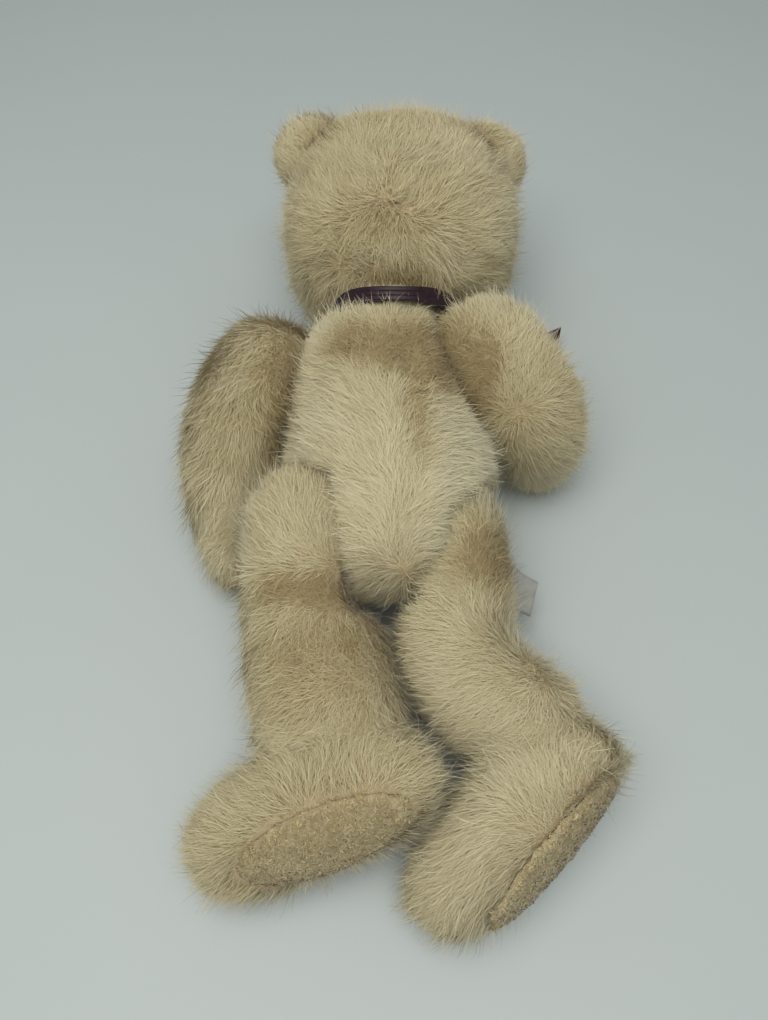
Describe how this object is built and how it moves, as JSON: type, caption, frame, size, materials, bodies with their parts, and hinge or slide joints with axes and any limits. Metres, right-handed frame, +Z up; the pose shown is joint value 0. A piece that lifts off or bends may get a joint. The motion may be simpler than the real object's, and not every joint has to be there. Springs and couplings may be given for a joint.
{
  "type": "jointed teddy bear",
  "caption": "Long-pile plush teddy bear lying face down, with disc-jointed neck, shoulders and hips, oval cloth foot pads, a satin neck ribbon and a folded care label.",
  "frame": {"origin": "middle of the bounding box footprint, on the surface the bear lies on", "axes": "+Y from the feet to the crown of the head, +Z up out of the bear's back, -X towards the bear's own left side"},
  "size_m": [0.1968, 0.3854, 0.109],
  "materials": {
    "plush": "long cream pile on knitted backing",
    "pad_cloth": "short nubbly pile",
    "polyester_filling": "loose white polyester fibre",
    "joint_plastic": "off-white moulded plastic",
    "lock_steel": "bright stamped steel",
    "eye_plastic": "glossy dark brown",
    "nose_thread": "dark brown embroidery thread",
    "ribbon_satin": "dark plum satin ribbon",
    "label_satin": "blank off-white satin tape"
  },
  "bodies": {
    "torso": {"torso_skin": "plush", "torso_stuffing": "polyester_filling", "neck_washer": "joint_plastic", "neck_lock_washer": "lock_steel", "shoulder_left_washer": "joint_plastic", "shoulder_left_lock_washer": "lock_steel", "shoulder_right_washer": "joint_plastic", "shoulder_right_lock_washer": "lock_steel", "hip_left_washer": "joint_plastic", "hip_left_lock_washer": "lock_steel", "hip_right_washer": "joint_plastic", "hip_right_lock_washer": "lock_steel", "ribbon_band": "ribbon_satin", "ribbon_knot": "ribbon_satin", "ribbon_loop_left": "ribbon_satin", "ribbon_loop_right": "ribbon_satin", "ribbon_tail_left": "ribbon_satin", "ribbon_tail_right": "ribbon_satin"},
    "head": {"head_skin": "plush", "head_stuffing": "polyester_filling", "ear_left": "plush", "ear_right": "plush", "eye_left": "eye_plastic", "eye_right": "eye_plastic", "eye_washer_left": "joint_plastic", "eye_washer_right": "joint_plastic", "nose": "nose_thread", "mouth_upright": "nose_thread", "mouth_smile": "nose_thread", "neck_stud": "joint_plastic"},
    "arm_left": {"arm_left_skin": "plush", "arm_left_stuffing": "polyester_filling", "shoulder_left_stud": "joint_plastic"},
    "arm_right": {"arm_right_skin": "plush", "arm_right_stuffing": "polyester_filling", "shoulder_right_stud": "joint_plastic"},
    "leg_left": {"leg_left_skin": "plush", "leg_left_stuffing": "polyester_filling", "foot_pad_left": "pad_cloth", "hip_left_stud": "joint_plastic"},
    "leg_right": {"leg_right_skin": "plush", "leg_right_stuffing": "polyester_filling", "foot_pad_right": "pad_cloth", "care_label": "label_satin", "hip_right_stud": "joint_plastic"}
  },
  "joints": [
    {"name": "neck_swivel", "type": "hinge", "parent": "torso", "child": "head", "pos_m": [0.00329, 0.0727, 0.057], "axis": [0, 1, 0], "continuous": true},
    {"name": "shoulder_left_swing", "type": "hinge", "parent": "torso", "child": "arm_left", "pos_m": [-0.03971, 0.0397, 0.05], "axis": [0.9314, -0.3605, -0.0501], "range_deg": [-130, 70]},
    {"name": "shoulder_right_swing", "type": "hinge", "parent": "torso", "child": "arm_right", "pos_m": [0.03069, 0.0421, 0.058], "axis": [0.853, 0.2007, 0.4817], "range_deg": [-110, 35]},
    {"name": "hip_left_swing", "type": "hinge", "parent": "torso", "child": "leg_left", "pos_m": [-0.01821, -0.0493, 0.05], "axis": [1, 0, 0], "range_deg": [-85, 40]},
    {"name": "hip_right_swing", "type": "hinge", "parent": "torso", "child": "leg_right", "pos_m": [0.01829, -0.0473, 0.042], "axis": [1, 0, 0], "range_deg": [-45, 60]}
  ]
}
